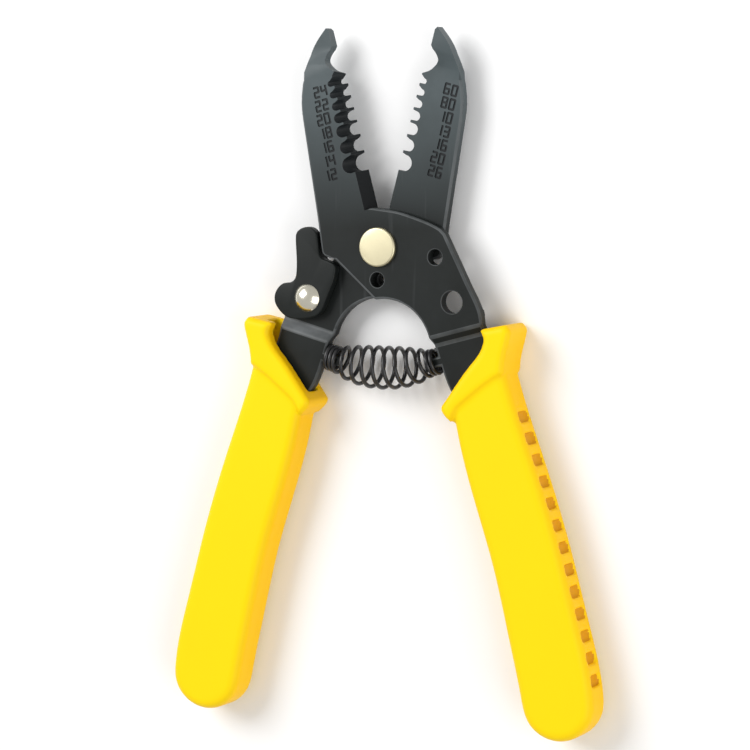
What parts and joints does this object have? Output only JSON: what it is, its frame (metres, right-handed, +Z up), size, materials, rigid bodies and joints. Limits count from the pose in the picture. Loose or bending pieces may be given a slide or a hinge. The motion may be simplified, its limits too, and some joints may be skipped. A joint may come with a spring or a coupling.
{
  "type": "wire stripper",
  "caption": "Hand wire stripper and cutter with notched pivoting jaws, thumb latch, return spring and moulded grips.",
  "frame": {"origin": "centre of the bottom of the box round the whole tool, lying flat and held open by its spring", "axes": "+Y from the handles to the jaws, +X to the right seen from above, +Z up out of the face with the latch"},
  "size_m": [0.1118, 0.1674, 0.0124],
  "materials": {
    "black_steel": "black oxide, satin, worn a little along the edges",
    "nickel": "nickel plated, smooth",
    "spring_wire": "black oiled spring wire",
    "grip": "yellow moulded vinyl, soft sheen"
  },
  "bodies": {
    "front_half": {"front_plate": "black_steel", "right_grip": "grip", "pivot_rivet": "nickel", "return_spring": "spring_wire"},
    "back_half": {"back_plate": "black_steel", "left_grip": "grip"},
    "latch_pin": {"latch_rivet": "nickel", "latch_washer": "nickel"},
    "latch": {"latch_lever": "black_steel"}
  },
  "joints": [
    {"name": "main_pivot", "type": "hinge", "parent": "front_half", "child": "back_half", "pos_m": [0, 0.03161, 0.0062], "axis": [0, 0, 1], "range_deg": [0, 30], "stiffness_Nm_per_rad": 0.5, "springref_deg": -11.46, "deforming": ["return_spring"]},
    {"name": "latch_turn", "type": "hinge", "parent": "back_half", "child": "latch_pin", "pos_m": [-0.01923, 0.01896, 0.0062], "axis": [0, 0, 1], "range_deg": [-9, 0]},
    {"name": "latch_release", "type": "hinge", "parent": "latch_pin", "child": "latch", "pos_m": [-0.01923, 0.01896, 0.0062], "axis": [0, 0, 1], "range_deg": [0, 25]}
  ],
  "couplings": [
    {"joint": "latch_turn", "follows": "main_pivot", "ratio": -0.3}
  ]
}
